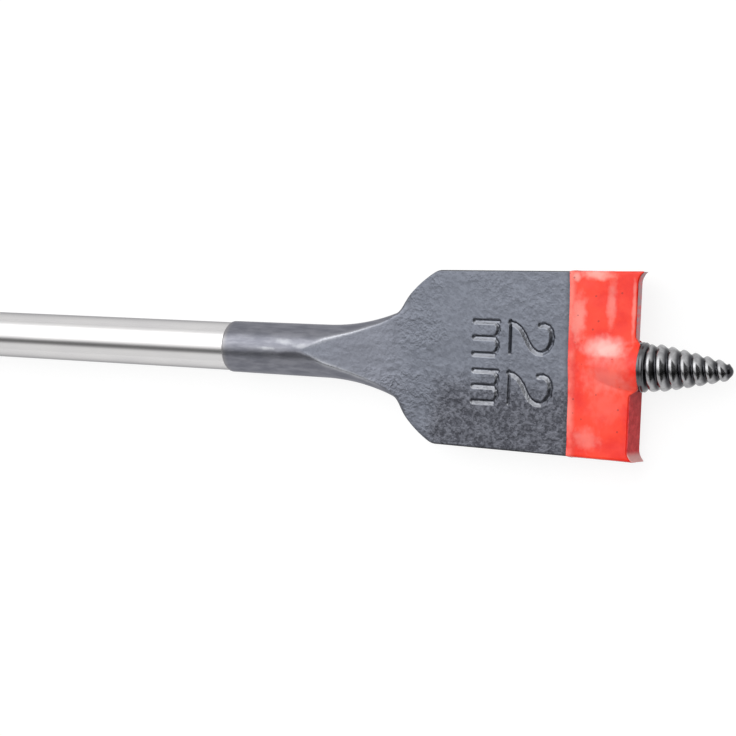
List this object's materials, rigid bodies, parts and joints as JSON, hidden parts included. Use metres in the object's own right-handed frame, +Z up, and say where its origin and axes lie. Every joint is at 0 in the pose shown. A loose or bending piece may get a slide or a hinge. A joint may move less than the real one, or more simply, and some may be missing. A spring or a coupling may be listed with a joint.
{
  "type": "spade drill bit",
  "caption": "Flat wood-boring spade bit: hex drive end, round shank, forged neck flaring into a spurred blade with a red lacquered end and a tapered lead screw.",
  "frame": {"origin": "centre of the flat rear end of the hexagonal shank, on the bit's axis", "axes": "+X along the axis towards the screw's tip, blade in the XY plane, +Z up out of the marked face with the bit lying down"},
  "size_m": [0.152, 0.0222, 0.0068],
  "materials": {
    "forged_steel": "dark blue-grey forged scale on the neck and blade, bright ground shank, dark polished screw",
    "red_lacquer": "glossy red-orange lacquer, slightly uneven"
  },
  "bodies": {
    "root": {"forged_bit": "forged_steel", "tip_lacquer": "red_lacquer"}
  },
  "joints": []
}
